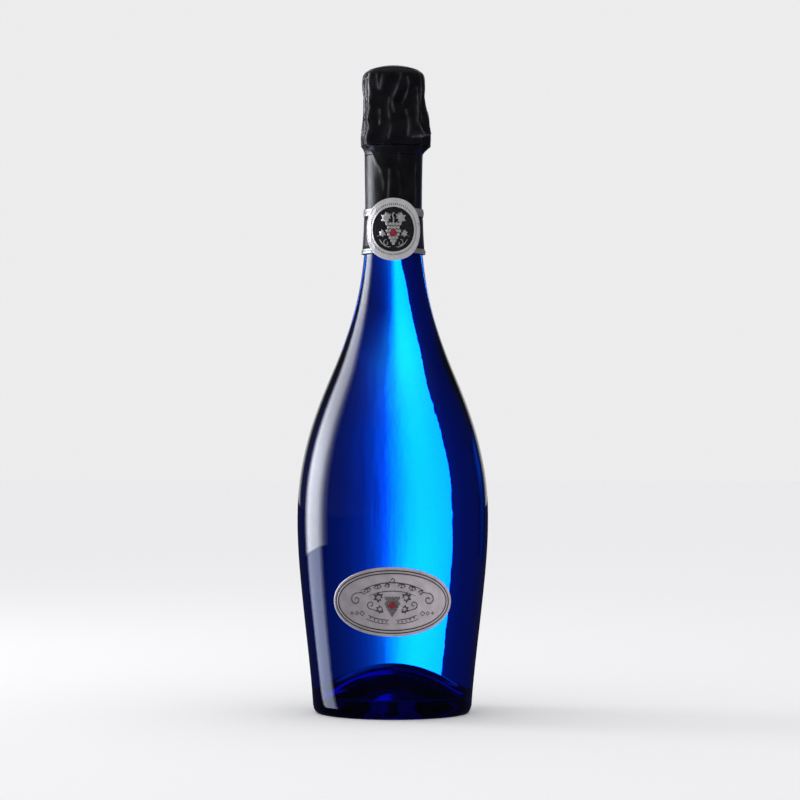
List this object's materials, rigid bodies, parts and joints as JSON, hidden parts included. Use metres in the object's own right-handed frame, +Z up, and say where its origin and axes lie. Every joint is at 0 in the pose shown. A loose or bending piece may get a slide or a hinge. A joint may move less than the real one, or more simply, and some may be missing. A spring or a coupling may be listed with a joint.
{
  "type": "sparkling wine bottle",
  "caption": "Waisted sparkling wine bottle of blue glass with wine, mushroom cork, wire cage with twist loop, foil capsule, neck seal and oval front plate.",
  "frame": {"origin": "centre of the foot, on the plane that the bottle stands on", "axes": "+Z up the bottle's axis, -Y towards the front plate and the neck seal, +X towards the twist loop"},
  "size_m": [0.0934, 0.0937, 0.3167],
  "materials": {
    "glass": "polished transparent cobalt blue",
    "wine": "clear pale wine",
    "foil": "black gloss lacquered foil, creased",
    "cork": "agglomerated cork",
    "cork_disc": "natural cork",
    "cage_steel": "galvanised steel wire",
    "cap": "black lacquered tinplate",
    "label_black": "satin black lacquer on foil",
    "label_silver": "embossed matt silver"
  },
  "bodies": {
    "bottle": {"glass_bottle": "glass", "wine": "wine", "foil_skirt": "foil", "tear_strip": "foil", "collar_band": "label_black", "collar_upper_rim": "label_silver", "collar_lower_rim": "label_silver", "seal_ring": "label_silver", "seal_field": "label_black", "front_plate": "label_silver"},
    "cork": {"cork_stem": "cork", "cork_disc_upper": "cork_disc", "cork_disc_lower": "cork_disc"},
    "cage": {"cage_wire": "cage_steel", "belt_wire": "cage_steel", "cage_plate": "cap"},
    "loop": {"twist_loop": "cage_steel"},
    "hood": {"foil_hood": "foil", "foil_top_disc": "foil"}
  },
  "joints": [
    {"name": "cork_pull", "type": "slide", "parent": "bottle", "child": "cork", "axis": [0, 0, 1], "range_m": [0, 0.06]},
    {"name": "cage_lift", "type": "slide", "parent": "cork", "child": "cage", "axis": [0, 0, 1], "range_m": [0, 0.05]},
    {"name": "hood_lift", "type": "slide", "parent": "cage", "child": "hood", "axis": [0, 0, 1], "range_m": [0, 0.18]},
    {"name": "loop_fold", "type": "hinge", "parent": "cage", "child": "loop", "pos_m": [0.01595, 0, 0.279], "axis": [0, 1, 0], "range_deg": [0, 90]}
  ],
  "couplings": [
    {"joint": "loop_fold", "follows": "hood_lift", "rad_per_m": 8.7266}
  ]
}
